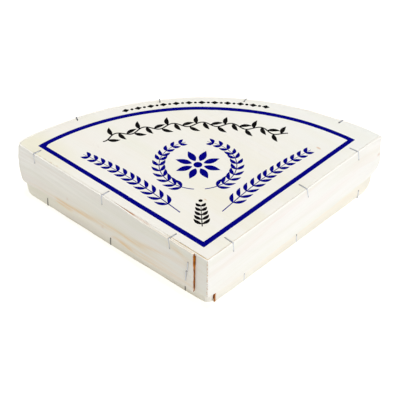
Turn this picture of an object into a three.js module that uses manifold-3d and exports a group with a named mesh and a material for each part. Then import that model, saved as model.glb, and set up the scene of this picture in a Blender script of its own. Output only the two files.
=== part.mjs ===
// A shut quarter-round cheese box of poplar: a lid over a slightly smaller base. Each is a thin board
// with a bent strip of wood stapled round it, and each strip laps over its own start near the point.
// Millimetres, +Z up. The origin is on the underside, below the middle of the box. The point of the
// quarter is towards -Y and its round side towards +Y.
import * as THREE from "three";
import { mergeVertices } from "three/addons/utils/BufferGeometryUtils.js";
import Module from "manifold-3d";

// Driving dimensions.
const LID_RADIUS = 190; // outside of the lid, from its point to its round side
const BOX_HEIGHT = 48; // underside of the base to the top of the lid
const STRIP = 1.5; // thickness of the bent strips
const BOARD = 3; // thickness of the lid's board
const FIT = 0.3; // gap between a board and the strip round it
// The strips stand off at the two far corners: each bend is pulled along its straight side and out from
// it. The pull fades out over one length on the straight side and another on the round side.
const LID_PULL = {
  left: { along: 2.7, out: 0, fade: { straight: 10, round: 45 } },
  right: { along: 0.8, out: 2.6, fade: { straight: 19, round: 28 } },
};
const LID_MIDDLE_PULL = {
  left: { ...LID_PULL.left, along: 3.7, out: 1 },
  right: { ...LID_PULL.right, along: 1.7, out: 3.5 },
};
const LID_FOOT_PULL = {
  left: { ...LID_PULL.left, along: 4.1, out: 1.4 },
  right: { ...LID_PULL.right, along: 2.6, out: 0.4 },
};
const BASE_PULL = {
  left: { along: 5, out: 0.3, fade: { straight: 6, round: 30 } },
  right: { along: 2.8, out: 0.8, fade: { straight: 6, round: 30 } },
};
const LID = { inset: 0, bend: 2.5, nose: 0, pull: LID_PULL }; // the lid's top, folded sharp at the point
const LID_MIDDLE = { ...LID, bend: 5, pull: LID_MIDDLE_PULL }; // lower down, its corners swell outwards
const LID_FOOT = { ...LID, bend: 9, pull: LID_FOOT_PULL }; // its lower edge bends more softly
const LID_MIDDLE_LEVEL = 0.45; // height of that middle between the lower and the upper edge
const BASE = { inset: 4, bend: 7, nose: 10, pull: BASE_PULL }; // the base, set in from the lid
const BASE_SHIFT = { x: 0.4, y: -0.4 }; // where the base sits inside the loose lid
const SKIRT = { fold: 34.3, bend: 31.8, round: 25 }; // lid strip's depth at its fold, before and after a bend
const SKIRT_BOW = { left: 2.9, right: 3.5, arc: 9 }; // how much deeper it hangs midway on each side
const BOW_POWER = 5; // how squarely that bow is filled out
const LAP = { start: 48, lift: 95 }; // along the lapped side, measured from the point
const LID_LAP_END = 12.3; // where the lid's lapping end is cut off
const BASE_LAP_END = 9.5; // where the base's lapping end is cut off
const LAP_GAP = 0.05; // between the two layers of a lap
const WIRE = { width: 1.1, thick: 0.6 }; // flat staple wire
const LID_LEGS = { flat: 8, side: 9 }; // staple legs on the lid's board and down its side
const BASE_LEGS = { flat: 8, side: 7.6 }; // staple legs under the base and up its side
const GROOVE_ROOM = 0.2; // room round a staple leg that is pressed into the underside
const GROOVE_OVERRUN = 1; // how far a groove's cutter reaches outside the wood
const LID_STAPLES = { left: [35, 103, 173.5], right: [26.5, 107, 165], arc: [-29, -8.8, 11.4, 34.9] };
const BASE_STAPLES = { left: [26.5, 100.5, 167], right: [41.5, 99.5, 172], arc: [-31, -10, 10, 31] };
const LAP_STAPLES = [
  { along: 17.7, top: 11.1 },
  { along: 19.3, top: 21.6 },
];
const LAP_STAPLE_LENGTH = 9;

// How finely the curved and bowed stretches are divided.
const FACE_STEPS = 8;
const BEND_STEPS = 8;
const ARC_STEPS = 40;
const WIRE_STEPS = 4;

const DIAGONAL = Math.SQRT1_2; // the two straight sides run at 45 degrees to X and Y
const SIDE_WALL = BOX_HEIGHT - BOARD; // the lid's board rests on top of the base's wall
const SAME_PLACE = 1e-4; // corners closer than this are one corner

const poplar = (color) => new THREE.MeshStandardMaterial({ color, roughness: 0.75, metalness: 0 });
const steel = new THREE.MeshStandardMaterial({ color: 0xb9bbbd, roughness: 0.35, metalness: 1 });

const wasm = await Module();
wasm.setup();

// Even steps from a to b, both ends included.
const steps = (a, b, count) => Array.from({ length: count + 1 }, (_, i) => a + ((b - a) * i) / count);

// How far the bend's centre is along a straight side of an outline.
function bendAlong({ inset, bend }) {
  return Math.sqrt((LID_RADIUS - inset - bend) ** 2 - (inset + bend) ** 2);
}

// A station of an outline: a place, the outward normal there, the side it is on and how far along that
// side it is, from 0 to 1.
function faceStation(outline, side, along) {
  const sign = side === "right" ? 1 : -1;
  return {
    x: sign * DIAGONAL * (along - outline.inset),
    y: DIAGONAL * (along + outline.inset),
    nx: sign * DIAGONAL,
    ny: -DIAGONAL,
    side,
    along,
    share: along / bendAlong(outline),
  };
}

// Stations round a circle of the given radius about (x, y), between two angles of the normal.
function roundStations(x, y, radius, from, to, count, side) {
  return steps(from, to, count).map((angle, i) => ({
    x: x + radius * Math.cos(angle),
    y: y + radius * Math.sin(angle),
    nx: Math.cos(angle),
    ny: Math.sin(angle),
    side,
    share: i / count,
  }));
}

// The point of an outline: one mitred station at a sharp fold, or a rounded nose.
function noseStations(outline) {
  const reach = (outline.inset + outline.nose) * Math.SQRT2;
  if (!outline.nose) return [{ x: 0, y: reach, nx: 0, ny: -Math.SQRT2, side: "nose", share: 0 }];
  return roundStations(0, reach, outline.nose, (-3 * Math.PI) / 4, -Math.PI / 4, BEND_STEPS, "nose");
}

const halfOf = ({ x }) => (x > 0 ? "right" : "left");

// Moves a station with the pull of the bend at its end of the round side: in full at the bend itself, and
// less with its distance from there.
function pulled(station, pull, distance) {
  const { along, out, fade } = pull[halfOf(station)];
  const length = station.side === "arc" ? fade.round : fade.straight;
  const weight = 1 - THREE.MathUtils.smoothstep(distance, 0, length);
  return {
    ...station,
    x: station.x + Math.sign(station.x) * weight * DIAGONAL * (along + out),
    y: station.y + weight * DIAGONAL * (along - out),
  };
}

// The round side with a bend at each of its ends, from the right side to the left.
function roundSide(outline) {
  const { inset, bend } = outline;
  const centre = faceStation({ ...outline, inset: inset + bend }, "right", bendAlong(outline));
  const lean = Math.asin((inset + bend) / (LID_RADIUS - inset - bend));
  const from = Math.PI / 4 + lean;
  const to = Math.PI - from;
  const radius = LID_RADIUS - inset;
  const arc = roundStations(0, 0, radius, from, to, ARC_STEPS, "arc").slice(1, -1);
  return [
    ...roundStations(centre.x, centre.y, bend, -Math.PI / 4, from, BEND_STEPS, "bend"),
    ...arc,
    ...roundStations(-centre.x, centre.y, bend, to, (5 * Math.PI) / 4, BEND_STEPS, "bend"),
  ].map((station) => {
    const share = station.side === "arc" ? Math.min(station.share, 1 - station.share) : 0;
    return pulled(station, outline.pull, share * radius * (to - from));
  });
}

// Where a straight side starts, next to the point.
const sideStart = ({ inset, nose }) => inset + nose;

// Stations along a straight side, through the given stops and on to the bend.
function sideRun(outline, side, stops) {
  const far = bendAlong(outline);
  const all = [...stops, far - outline.pull[side].fade.straight, far];
  const alongs = all.slice(1).flatMap((stop, i) => steps(all[i], stop, FACE_STEPS).slice(1));
  return [all[0], ...alongs].map((along) =>
    pulled(faceStation(outline, side, along), outline.pull, far - along),
  );
}

// A strip's whole run: it starts on the left side, goes round the point, up the right side, along the
// round side and back down the left side, where it lifts by its own thickness and laps over its start.
function lappedRun(outline, lapEnd) {
  const near = sideStart(outline);
  const under = steps(LAP.start, near, FACE_STEPS).map((along) => faceStation(outline, "left", along));
  const over = sideRun(outline, "left", [lapEnd, LAP.start, LAP.lift]).reverse();
  return [
    ...under.slice(0, -1),
    ...noseStations(outline),
    ...sideRun(outline, "right", [near]).slice(1),
    ...roundSide(outline).slice(1, -1),
    ...over.map((station) => ({ ...station, out: lapLift(station.along) })),
  ];
}

// How far the lapping end stands out from its outline, eased in between LAP.lift and LAP.start.
function lapLift(along) {
  const share = THREE.MathUtils.smoothstep(LAP.lift - along, 0, LAP.lift - LAP.start);
  return share * (STRIP + LAP_GAP);
}

// The mirror image of a run, in the order that keeps its outside on the same hand.
const mirrored = (run) => run.map((s) => ({ ...s, x: -s.x, nx: -s.nx })).reverse();

const swapped = ({ left, right }) => ({ left: right, right: left });

// A bent strip of even thickness, carried along rows of stations that are stacked from its lower edge to
// its upper edge. Each row has its run and its level, from 0 to 1. The lower edge may change its height.
function stripGeometry(rows, bottomAt, top) {
  const count = rows[0].run.length;
  const ring = 2 * rows.length;
  const positions = [];
  const corner = (i, { run, level }, off) => {
    const { x, y, nx, ny, out = 0 } = run[i];
    const z = THREE.MathUtils.lerp(bottomAt(run[i]), top, level);
    positions.push(x + nx * (out + off), y + ny * (out + off), z);
  };
  for (let i = 0; i < count; i++) {
    rows.forEach((row) => corner(i, row, 0));
    rows.toReversed().forEach((row) => corner(i, row, -STRIP));
  }
  const index = [];
  for (let a = 0; a < ring * (count - 1); a += ring) {
    for (let k = 0; k < ring; k++) {
      const next = (k + 1) % ring;
      index.push(a + k, a + ring + k, a + ring + next, a + k, a + ring + next, a + next);
    }
  }
  const end = ring * (count - 1);
  for (let k = 0; k < rows.length - 1; k++) {
    const inner = ring - 1 - k;
    index.push(k, k + 1, inner - 1, k, inner - 1, inner);
    index.push(end + k, end + inner - 1, end + k + 1, end + k, end + inner, end + inner - 1);
  }
  return new THREE.BufferGeometry()
    .setAttribute("position", new THREE.Float32BufferAttribute(positions, 3))
    .setIndex(index);
}

// A flat board that fills an outline, between two heights.
function boardGeometry(outline, bottom, top) {
  const inner = STRIP + FIT;
  const inside = {
    ...outline,
    inset: outline.inset + inner,
    bend: outline.bend - inner,
    nose: Math.max(outline.nose - inner, 0),
  };
  const near = sideStart(inside);
  const points = [
    ...noseStations(inside),
    ...sideRun(inside, "right", [near]).slice(1),
    ...roundSide(inside).slice(1, -1),
    ...sideRun(inside, "left", [near]).slice(1).reverse(),
  ].map((station) => new THREE.Vector2(station.x, station.y));
  return new THREE.ExtrudeGeometry(new THREE.Shape(points), {
    depth: top - bottom,
    bevelEnabled: false,
  }).translate(0, 0, bottom);
}

// The frame of a staple: local X along the outward normal, local Y up, local Z along the side.
function stapleMatrix(station, z) {
  const normal = new THREE.Vector3(station.nx, station.ny, 0);
  const up = new THREE.Vector3(0, 0, 1);
  const out = station.out ?? 0;
  return new THREE.Matrix4()
    .makeBasis(normal, up, new THREE.Vector3().crossVectors(normal, up))
    .setPosition(station.x + station.nx * out, station.y + station.ny * out, z);
}

// A flat wire bent over an edge: one leg lies on the flat, the other runs down the side. The outside of
// the bend is rounded. The edge is at the local origin.
function bentStaple({ flat, side }) {
  const t = WIRE.thick;
  const shape = new THREE.Shape();
  shape.moveTo(0, 0);
  shape.lineTo(0, -side);
  shape.lineTo(t, -side);
  shape.absarc(0, 0, t, 0, Math.PI / 2, false);
  shape.lineTo(-flat, t);
  shape.lineTo(-flat, 0);
  return extrudeWire(shape);
}

// A flat wire that lies upright on a side, with its two ends rounded off where they go into the wood.
function uprightStaple(length) {
  const t = WIRE.thick;
  const shape = new THREE.Shape();
  shape.moveTo(0, 0);
  shape.lineTo(0, -length);
  shape.absarc(0, t - length, t, -Math.PI / 2, 0, false);
  shape.lineTo(t, -t);
  shape.absarc(0, -t, t, 0, Math.PI / 2, false);
  return extrudeWire(shape);
}

function extrudeWire(shape) {
  return new THREE.ExtrudeGeometry(shape, {
    depth: WIRE.width,
    bevelEnabled: false,
    curveSegments: WIRE_STEPS,
  }).translate(0, 0, -WIRE.width / 2);
}

// Stations of staples along an outline: on the straight sides by distance from the point, on the round
// side by the angle from +Y, each set a little off the facets there.
function stapleStations(outline, places, lappedSide) {
  const straight = (side) =>
    places[side].map((along) => ({
      ...faceStation(outline, side, along),
      out: side === lappedSide ? lapLift(along) : 0,
    }));
  const facetSag = (LID_RADIUS * (Math.PI / 2 / ARC_STEPS) ** 2) / 8;
  const arc = places.arc.map((degrees) => {
    const angle = Math.PI / 2 - THREE.MathUtils.degToRad(degrees);
    const [station] = roundStations(0, 0, LID_RADIUS - outline.inset - facetSag, angle, angle, 1, "arc");
    return { ...station, out: facetSag + LAP_GAP };
  });
  return { left: straight("left"), right: straight("right"), arc };
}

// A closed geometry as a solid for cutting, and a solid back as a geometry.
function solidOf(geometry) {
  const bare = geometry.clone();
  bare.deleteAttribute("normal");
  bare.deleteAttribute("uv");
  const merged = mergeVertices(bare, SAME_PLACE);
  const vertProperties = new Float32Array(merged.attributes.position.array);
  const triVerts = new Uint32Array(merged.index.array);
  return new wasm.Manifold(new wasm.Mesh({ numProp: 3, vertProperties, triVerts }));
}

function geometryOf(solid) {
  const { vertProperties, triVerts } = solid.getMesh();
  return new THREE.BufferGeometry()
    .setAttribute("position", new THREE.BufferAttribute(vertProperties, 3))
    .setIndex(new THREE.BufferAttribute(triVerts, 1));
}

// The groove that lets a staple's leg lie flush in the underside.
function grooveGeometry(station) {
  const length = BASE_LEGS.flat + GROOVE_ROOM + GROOVE_OVERRUN;
  const depth = WIRE.thick + GROOVE_ROOM + GROOVE_OVERRUN;
  const width = WIRE.width + 2 * GROOVE_ROOM;
  return new THREE.BoxGeometry(length, depth, width)
    .translate(GROOVE_OVERRUN - length / 2, depth / 2 - GROOVE_OVERRUN, 0)
    .applyMatrix4(stapleMatrix(station, 0));
}

function cutGrooves(geometry, stations) {
  const cut = stations.reduce(
    (solid, station) => solid.subtract(solidOf(grooveGeometry(station))),
    solidOf(geometry),
  );
  return geometryOf(cut);
}

const box = new THREE.Group();
box.position.y = -LID_RADIUS / 2;
const lid = new THREE.Group();
const base = new THREE.Group();
base.position.set(BASE_SHIFT.x, BASE_SHIFT.y, 0);
box.add(lid, base);

function add(group, name, geometry, material, matrix) {
  const mesh = new THREE.Mesh(geometry, material);
  mesh.name = name;
  if (matrix) mesh.applyMatrix4(matrix);
  group.add(mesh);
}

// How deep the lid's strip hangs at a station: less at its fold and past its bends than midway on a side.
function skirtDepth(station) {
  const { side, share } = station;
  const { lerp, smoothstep } = THREE.MathUtils;
  if (side === "nose") return SKIRT.fold;
  if (side === "bend") {
    const turned = halfOf(station) === "right" ? share : 1 - share;
    return lerp(SKIRT.bend, SKIRT.round, smoothstep(turned, 0, 1));
  }
  const ends = side === "arc" ? SKIRT.round : lerp(SKIRT.fold, SKIRT.bend, share);
  return ends + SKIRT_BOW[side] * (1 - Math.abs(2 * share - 1) ** BOW_POWER);
}

// The lid: its board, its strip, the staples bent over its top edge and two more through its lap.
add(lid, "lid_board", boardGeometry(LID, SIDE_WALL, BOX_HEIGHT), poplar(0xf0ede2));
const lidRows = [
  { run: lappedRun(LID_FOOT, LID_LAP_END), level: 0 },
  { run: lappedRun(LID_MIDDLE, LID_LAP_END), level: LID_MIDDLE_LEVEL },
  { run: lappedRun(LID, LID_LAP_END), level: 1 },
];
const lidStrip = stripGeometry(lidRows, (station) => BOX_HEIGHT - skirtDepth(station), BOX_HEIGHT);
add(lid, "lid_strip", lidStrip, poplar(0xf2ece0));
for (const [side, stations] of Object.entries(stapleStations(LID, LID_STAPLES, "left"))) {
  stations.forEach((station, i) => {
    const matrix = stapleMatrix(station, BOX_HEIGHT);
    add(lid, `lid_staple_${side}_${i + 1}`, bentStaple(LID_LEGS), steel, matrix);
  });
}
LAP_STAPLES.forEach(({ along, top }, i) => {
  const station = { ...faceStation(LID, "left", along), out: lapLift(along) };
  const matrix = stapleMatrix(station, BOX_HEIGHT - top);
  add(lid, `lap_staple_${i + 1}`, uprightStaple(LAP_STAPLE_LENGTH), steel, matrix);
});

// The base: the strip laps on the other side of the point. Its board is one solid with the shut inside,
// and its staples are bent under the lower edge and pressed in flush.
const baseStations = stapleStations(BASE, BASE_STAPLES, "right");
const allBaseStations = Object.values(baseStations).flat();
const baseRun = mirrored(lappedRun({ ...BASE, pull: swapped(BASE_PULL) }, BASE_LAP_END));
const baseRows = [0, 1].map((level) => ({ run: baseRun, level }));
const baseStrip = stripGeometry(baseRows, () => 0, SIDE_WALL);
add(base, "base_strip", cutGrooves(baseStrip, allBaseStations), poplar(0xe9dcc4));
const baseBoard = boardGeometry(BASE, 0, SIDE_WALL);
add(base, "base_board", cutGrooves(baseBoard, allBaseStations), poplar(0xe6d9c0));
const upsideDown = new THREE.Matrix4().makeRotationX(Math.PI);
const sunk = new THREE.Matrix4().makeTranslation(0, WIRE.thick, 0);
for (const [side, stations] of Object.entries(baseStations)) {
  stations.forEach((station, i) => {
    const matrix = stapleMatrix(station, 0).multiply(sunk).multiply(upsideDown);
    add(base, `base_staple_${side}_${i + 1}`, bentStaple(BASE_LEGS), steel, matrix);
  });
}

export default box;
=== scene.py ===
import bpy
import numpy as np
from mathutils import Matrix, Vector


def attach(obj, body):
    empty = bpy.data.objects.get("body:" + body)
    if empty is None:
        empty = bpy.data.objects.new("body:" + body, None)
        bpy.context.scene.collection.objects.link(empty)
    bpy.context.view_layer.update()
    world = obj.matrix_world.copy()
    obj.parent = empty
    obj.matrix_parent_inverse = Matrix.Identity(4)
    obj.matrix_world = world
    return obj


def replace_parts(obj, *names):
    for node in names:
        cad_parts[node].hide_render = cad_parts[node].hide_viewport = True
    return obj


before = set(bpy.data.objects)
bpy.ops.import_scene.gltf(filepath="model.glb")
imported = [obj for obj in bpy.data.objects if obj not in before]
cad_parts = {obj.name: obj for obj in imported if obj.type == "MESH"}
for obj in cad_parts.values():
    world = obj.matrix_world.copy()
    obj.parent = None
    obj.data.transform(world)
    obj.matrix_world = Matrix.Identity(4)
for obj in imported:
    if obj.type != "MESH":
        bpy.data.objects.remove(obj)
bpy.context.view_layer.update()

# Sizes are in millimetres in the lid's own plan: the point of the quarter at the origin, the round side
# towards +Y. SHIFT carries that plan to the part's frame.
MM = 0.001
HALF = np.sqrt(0.5)
SHIFT = np.array([0.0, -95.0])
RADIUS = 190.0
LID_TOP = 48.0
BASE_TOP = 44.6
STRIP = 1.5
BOARD = 3.0

# The bent strips. Each bend's radius and pull is given at LEVELS between the strip's foot and its top.
# nose lists the radius round the point by the normal's angle in degrees, swell how far a straight side
# stands out by the distance from the point, and bulges the round side's swellings by angle left of
# straight on, width in degrees and size. thick is how much thicker the strip is at the top of a bend and
# drop how far its top sinks there. A lap's out is how far its end stands off.
LEVELS = (0.0, 0.25, 0.65, 1.0)
LAP_GAP = 0.05
TIP_REACH = 25.0
LID = {
    "inset": 0.0, "nose": ((-135, 0.9), (-45, 0.9)), "bulges": ((26.0, 9.0, 1.0),),
    "left": {"bend": (9.0, 7.0, 5.5, 5.0), "along": (3.6, 3.9, 3.7, 3.1), "out": (2.0, 1.9, 1.3, 0.4),
             "straight": (10.0, 10.0, 10.0, 10.0), "round": 45.0, "thick": 0.0, "drop": 0.0,
             "swell": ((0, 0.9), (35, 0.8), (100, 0.65), (190, 0.55))},
    "right": {"bend": (9.0, 6.0, 4.4, 2.8), "along": (2.6, 2.2, 2.2, 3.8), "out": (0.4, 3.0, 2.2, 1.1),
              "straight": (19.0, 19.0, 19.0, 10.0), "round": 44.0, "thick": 1.2, "drop": 1.3,
              "swell": ((0, 0.8), (55, 0.5), (100, 0.3), (150, -0.2), (190, -0.5))},
    "lap": {"end": 11.7, "start": 60.0, "lift": 95.0, "out": STRIP + LAP_GAP},
}
BASE = {
    "inset": 4.0, "bulges": (),
    "nose": ((-135, 8), (-78, 8), (-75, 0.8), (-52, 0.8), (-50, 120), (-45, 250)),
    "left": {"bend": (13.0, 8.0, 7.0, 7.0), "along": (4.2, 4.4, 2.8, 2.8), "out": (1.0, 2.4, 0.9, 0.8),
             "straight": (28.0, 28.0, 28.0, 28.0), "round": 45.0, "thick": 0.0, "drop": 0.0,
             "swell": ((0, 0.0), (10, 0.0), (28, 0.45), (190, 0.5))},
    "right": {"bend": (11.0, 8.0, 7.0, 7.0), "along": (9.0, 8.0, 5.2, 4.6), "out": (-0.2, 1.2, 1.0, 0.3),
              "straight": (12.0, 12.0, 12.0, 12.0), "round": 60.0, "thick": 0.0, "drop": 0.0,
              "swell": ((0, 0.0), (190, 0.0))},
    "lap": {"end": 10.2, "start": 150.0, "lift": 178.0, "out": 0.6},
}
BASE_SHIFT = np.array([0.4, -0.4])
# The under layer starts so far from the point, thinned to a scarf. Its top sinks between two distances.
SCARF = {"start": 94.0, "thin": 0.14, "sink": 0.3, "between": (68.0, 76.0)}
# Where a strip pressed in at its lap comes flush again, and how far a bend's dropped top takes to rise.
FLUSH = (20.0, 110.0)
DROP_FADE = 25.0
# The levels between which a bend's strip thickens, and how far every top edge lies under its height.
THICKENS = (0.35, 0.9)
TOP_SETTLE = 0.08

# How deep the lid's strip hangs, by the distance from the point, and at and past its bends.
SKIRT = {
    "lap": ((12, 35.0), (33, 34.4), (48, 34.2), (65, 34.4), (80, 34.9), (95, 35.1), (121, 34.6),
            (140, 34.0), (158, 33.0), (182, 31.9), (188, 31.0)),
    "under": ((0, 34.3), (94, 34.3)),
    "single": ((0, 34.3), (6, 35.4), (12, 35.8), (25, 36.3), (40, 37.1), (76, 36.9), (100, 36.6),
               (125, 36.0), (150, 35.4), (166, 34.6), (181, 32.9), (188, 31.8)),
    "bend": 31.4, "round": 25.0, "arc": 9.0, "power": 5,
}

# A strip's mesh: rows up each face, how many of them round an edge, the edge's radius and the usual height.
# The stations are those of the under layer, nose, right side, right bend, round side, left bend, left side.
ROWS, EDGE_ROWS, EDGE_ROUND, USUAL_HEIGHT = 44, 6, 0.55, 38.0
LID_STATIONS = (50, 9, 150, 16, 190, 16, 150)
BASE_STATIONS = (50, 30, 150, 16, 190, 16, 150)
# Unevenness of a strip: the size of its waves and their longest length along and up.
WAVES = {"foot": (0.15, (40.0, 1.0)), "top": (0.06, (30.0, 1.0)), "face": (0.07, (90.0, 22.0)),
         "fold": (1.0, (1.0, 9.0)), "cut": (0.08, (1.0, 14.0))}
# How far the fold's ragged fibres and the lap's crooked cut end reach along the strip, how far that end is
# drawn back at its foot and between which depths, and the levels of the strip's top rim.
FOLD_REACH, CUT_REACH = 1.1, 12.0
CUT_BACK = (0.5, 33.0, 38.0)
TOP_RIM = (0.975, 1.0)
# The glue's stain at a lap's cut end thins out by so much between two depths under the top edge. The first
# is the other way round: the stain starts there. What hangs below the lid's skirt keeps its stain.
GLUE = {"start": (3.0, 0.6, 2.0), "middle": (0.45, 8.0, 13.0), "foot": (0.7, 30.5, 33.5),
        "narrow": (0.5, 12.0, 18.0)}
BELOW_SKIRT = (34.6, 35.2)

# Marks on the strips' colour: stains, and painted shade where noted. A streak has knots, each a distance
# from the point, a depth under the top edge and a strength, and then how far it fades above and below.
LID_TAN = (
    (((14, 13, 0), (21, 13.7, .35), (37, 15.7, .4), (52, 19.2, .5), (62, 21.3, .7), (70, 22.6, .65),
      (77, 23.7, .6), (90, 24.8, .6), (101, 26, .6), (115, 26.8, .7), (121, 27.7, .75), (133, 28.6, .8),
      (140, 29.8, .95), (153, 30, .85), (157, 30.2, .3), (183, 30.6, .15)), 1.9, 2.3),
    (((137, 34, 0), (138.5, 34, .9), (146, 33.5, .95), (153, 33, .8), (156, 32.9, 0)), .8, .8),
    (((136, 31.8, 0), (141, 31.8, .4), (153, 31.5, .4), (159, 31.4, 0)), 2.0, 2.0),
    (((73, 32.1, 0), (75, 32, .7), (83, 31.5, .95), (92, 31.7, .9), (96, 33, .5), (98, 33.5, 0)), .8, .9),
    (((13, 36.6, .5), (21, 36.1, .5), (46, 36, .45), (58, 35.6, .45), (71, 34.7, .6), (75, 34.2, .7),
      (81, 33.2, .9), (86, 32.5, .9), (89, 32, 0)), .7, .7),
    (((13, 33.5, .1), (46, 33.5, .22), (60, 33, .3), (75, 32.8, .3), (90, 32.5, .15), (97, 32.5, 0)),
     2.2, 2.2),
    (((13, 9, .3), (20, 9, .4), (27, 6, .5), (34, 5, .3), (40, 4, 0)), 2.5, 2.5),
    # This broad low row is painted shade: it darkens the left side towards its foot.
    (((8, 30, .12), (60, 29, .14), (120, 27, .14), (160, 28, .1), (185, 30, 0)), 13.0, 13.0),
    (((11, 30.5, .22), (60, 28.5, .2), (85, 28, 0)), 5.0, 6.0),
)
# LID_PALE lightens the upper part of the left side away from the point.
LID_PALE = ((((60, 8, 0), (110, 8, .35), (150, 8, .8), (192, 8, .9)), 12.0, 14.0),)
LID_ROSY = (
    (((0, 17, .45), (20, 16.5, .55), (42, 14.5, .6), (70, 10, .6), (107, 5, .6), (125, 2, .5),
      (140, -.5, .3)), 8.5, 0.9),
    (((140, 14, 0), (152, 13, .4), (165, 12, .6), (185, 9, .6), (195, 8, .5)), 4.5, 3.0),
    (((160, 17.5, 0), (165, 17, .45), (190, 14.5, .45)), 2.4, 0.8),
    (((8, 32, 0), (12, 32, .6), (26, 31.5, .6), (32, 31.5, 0)), 1.2, 1.0),
)
# The scarfed under layer shows its top edge inside the lap: brown where it is thin, then rosy.
LID_RAW = ((((-96, 0, 0), (-94, 0, .9), (-73, 0, 1), (-70, 0, .25), (-58, 0, .3), (-54, 0, 0)), 3.0, 3.0),)
# Small brown flecks: the side, the distance from the point, the depth and the strength.
LID_FLECKS = (("left", 105.0, 29.5, .4), ("left", 141.3, 23.7, .3), ("right", 191.3, 13.2, .9))
FLECK_LONG, FLECK_TALL = 0.8, 1.0
# The seams between board, strip and lap are tinted near the point: distances and strengths.
LEFT_SEAM = ((12, 20, 50, 75), (0.6, 0.5, 0.4, 0.04))
RIGHT_SEAM = ((-44, -34, -3, 3, 45, 100), (0.0, 0.8, 0.9, 0.5, 0.25, 0.0))
BASE_ROSY = ((((10, 40, .2), (60, 40, .3), (72, 40, .8), (95, 40, .9), (108, 40, .6), (120, 40, .8),
               (165, 40, .9), (185, 40, .7)), 9.0, 9.0),)
# Painted shade: a darker olive band along the foot of the base's other side, where it stands on the floor.
BASE_FOOT_SHADE = ((((6, 44.6, .6), (60, 44.6, .55), (185, 44.6, .4)), 2.0, 1.0),)

# The lid's board stops short of the strip by a gap that opens on the left side near the point: how far, and
# where it starts to open and to close. FLOOR_SEAT is how much higher the base's floor lies than its board.
BOARD_GAP, BOARD_NOSE, BOARD_CUT = 0.06, 0.5, 0.45
OPEN_GAP = {"size": 0.1, "opens": (0.0, 4.0), "closes": (24.0, 36.0), "side": 3.0}
BOARD_MIDDLE = np.array([0.0, 105.0])
BOARD_SETTLE, BOARD_SWELL, BOARD_WAVES = 0.06, 0.05, (160.0, 120.0)
FLOOR_SEAT = 0.1

# The staples: distances from the point, angles on the round side, and how each leg leans, in this order.
# flat is how far the inner legs reach in, rise their height and end the height of the side legs' ends. dull
# is how far each staple's wire is darkened. A wire's ends are dark over the two distances, from whole to
# nothing.
WIRE = {"width": 0.95, "thick": 0.6, "bend": 0.7, "squareness": 0.8, "tip": 0.55, "dark": (0.3, 1.3)}
SUNK_IN = 0.3
LID_STAPLES = {"left": (35.2, 102.9, 173.8), "right": (25.3, 105.8, 165.0),
               "arc": (-29.0, -8.8, 11.4, 34.9)}
LID_WIRE = {"flat": np.array([8.0, 7.5, 6.9, 8.2, 8.0, 7.7, 4.6, 4.6, 4.6, 5.2]),
            "rise": LID_TOP + 0.25, "end": LID_TOP - 8.3,
            "slant": (1.3, 0.3, 0.8, 0.8, 1.6, 1.2, 0.4, -0.5, 0.6, -0.3),
            "skew": (0.4, 0.6, 1.0, 0.2, 0.0, -0.8, 1.1, 0.3, 1.2, 1.1)}
LID_DULL = (0.3, 0.3, 0.3, 0.15, 0.15, 0.15, 0.3, 0.3, 0.3, 0.3)
BASE_STAPLES = {"left": (26.5, 100.5, 167.0), "right": (41.5, 99.5, 170.3),
                "arc": (-31.0, -10.0, 10.0, 31.0)}
BASE_WIRE = {"flat": 8.0, "rise": 0.3, "end": 7.9,
             "slant": (0.3, 0.2, 0.3, 0.2, -0.2, 0.3, 0.2, -0.3, 0.3, 0.0), "skew": (0.0,) * 10}
BASE_DULL = (1.0, 1.0, 1.0, 0.1, 0.1, 0.1, 0.7, 0.7, 0.7, 0.7)
# The upright staples in the lid's lap: distance from the point, depth and lean of each.
LAP_STAPLES = ((16.3, 9.5, 0.8), (18.0, 18.9, 0.6))
LAP_WIRE = {"length": 10.0, "stations": 12, "seat": 0.05, "dive": 0.5, "ends": 0.08}
# How far the lap's staples are darkened: painted shade standing in for the shade along their edges.
LAP_PAINTED_SHADE = (0.38, 0.38)

# A yellow patch and small orange flecks on the lid's board: place in the plan, size, strength and colour.
BOARD_FLECKS = (
    (-118.0, 130.0, 17.0, 0.6, "#e9e4c6"), (87.4, 122.8, 1.0, 0.6, "#d09a5a"),
    (1.1, 65.5, 0.7, 0.5, "#d09a5a"), (-118.4, 120.1, 0.6, 0.3, "#d0a468"),
    (-114.6, 116.4, 0.7, 0.3, "#d0a468"), (-110.1, 112.1, 0.6, 0.3, "#d0a468"),
    (-105.7, 107.8, 0.6, 0.3, "#d0a468"))
FLECK_STRETCH = 0.45

# Print: the border's corners at the point, right and left and the radius of its arc about PRINT_CENTRE, the
# row of ornaments outside it, the garland's radius and wave, the wreath's half turns in degrees from below,
# the sprays, the sprig by the point, and the film of ink's under side and upper side against the board.
PRINT_CENTRE = (-2.84, 0.0)
BORDER = {"inner": ((-2.1, 19.4), (109.8, 131.6), (-114.0, 131.5), 173.3),
          "outer": ((-2.2, 13.4), (115.8, 132.2), (-120.2, 132.5), 177.25)}
ROW_RADIUS = 182.6
GARLAND = {"radius": 155.0, "wave": 2.6, "long": 22.0}
WREATH = {"middle": (-2.7, 106.0), "radius": 28.5, "from": 8.0, "to": 164.0}
SPRAY = {"middle": -2.5, "out": 15.0, "foot": 52.0, "reach": 69.0, "bow": 5.0}
SPRIG = {"middle": -2.4, "foot": 36.0, "tip": 60.0, "bud": 64.5}
INK_LOW, INK_HIGH = -0.05, 0.022

# Camera: the photo's angle, found from the lid's edges. FLOOR_HALF is in metres.
VIEW = {"azimuth": -2.542, "elevation": 39.442, "roll": 0.391, "distance": 1285.8,
        "target": (-2.797, -29.794, 48.0), "lens": 162.0, "sensor": 36.0, "far": 50.0}
FLOOR_HALF = 6.0
SKY = 0.15


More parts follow.
